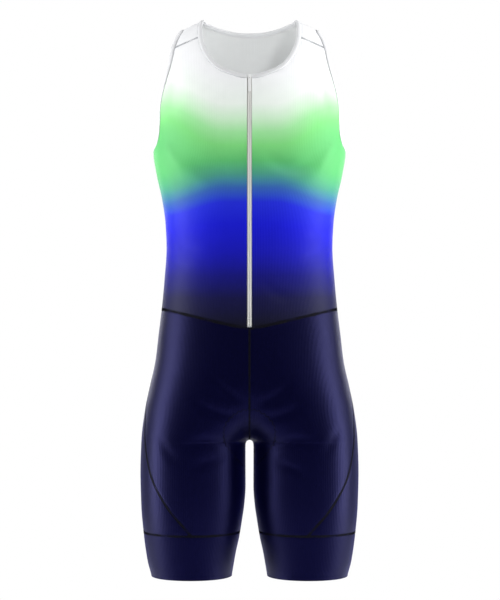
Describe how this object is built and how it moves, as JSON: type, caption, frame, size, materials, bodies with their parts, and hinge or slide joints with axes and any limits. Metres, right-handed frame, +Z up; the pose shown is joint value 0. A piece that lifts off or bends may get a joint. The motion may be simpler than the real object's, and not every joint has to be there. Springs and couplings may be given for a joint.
{
  "type": "sleeveless triathlon suit",
  "caption": "Sleeveless one-piece suit for triathlon with a front zip, thigh-length legs and a seat pad, filled out as if worn, with open neck, armholes and legs.",
  "frame": {"origin": "where the suit hangs from the wearer's shoulders: in the middle plane, at the height of the neck points and at mid-depth", "axes": "+X to the wearer's left, +Y to the wearer's back, +Z up"},
  "size_m": [0.3698, 0.2359, 0.943],
  "materials": {
    "torso_knit": "fine warp knit of polyester and elastane, printed with a fade from white through green and blue to navy",
    "shorts_knit": "smooth satin warp knit of polyamide and elastane, dyed navy",
    "band_knit": "matte elastic warp knit, dyed navy",
    "binding_rib": "light grey ribbed elastic binding",
    "pad_fabric": "brushed microfibre over foam, dark navy",
    "zip_tape": "woven polyester tape, off-white",
    "zip_coil": "wound polyester coil, off-white",
    "zip_slider": "die-cast zinc with white enamel",
    "zip_pull": "die-cast zinc with white enamel"
  },
  "bodies": {
    "suit": {"torso_front_left": "torso_knit", "torso_front_right": "torso_knit", "torso_back_left": "torso_knit", "torso_back_right": "torso_knit", "shorts_front_left": "shorts_knit", "shorts_front_right": "shorts_knit", "shorts_back_left": "shorts_knit", "shorts_back_right": "shorts_knit", "leg_band_left": "band_knit", "leg_band_right": "band_knit", "neck_binding": "binding_rib", "armhole_binding_left": "binding_rib", "armhole_binding_right": "binding_rib", "seat_pad": "pad_fabric", "zip_tape_left": "zip_tape", "zip_tape_right": "zip_tape", "zip_coil": "zip_coil", "zip_bottom_stop": "zip_coil", "zip_slider": "zip_slider"},
    "zip_pull": {"zip_pull": "zip_pull"}
  },
  "joints": [
    {"name": "pull_tab", "type": "hinge", "parent": "suit", "child": "zip_pull", "pos_m": [0, -0.09274, -0.10341], "axis": [-1, 0, 0], "range_deg": [0, 150]}
  ]
}
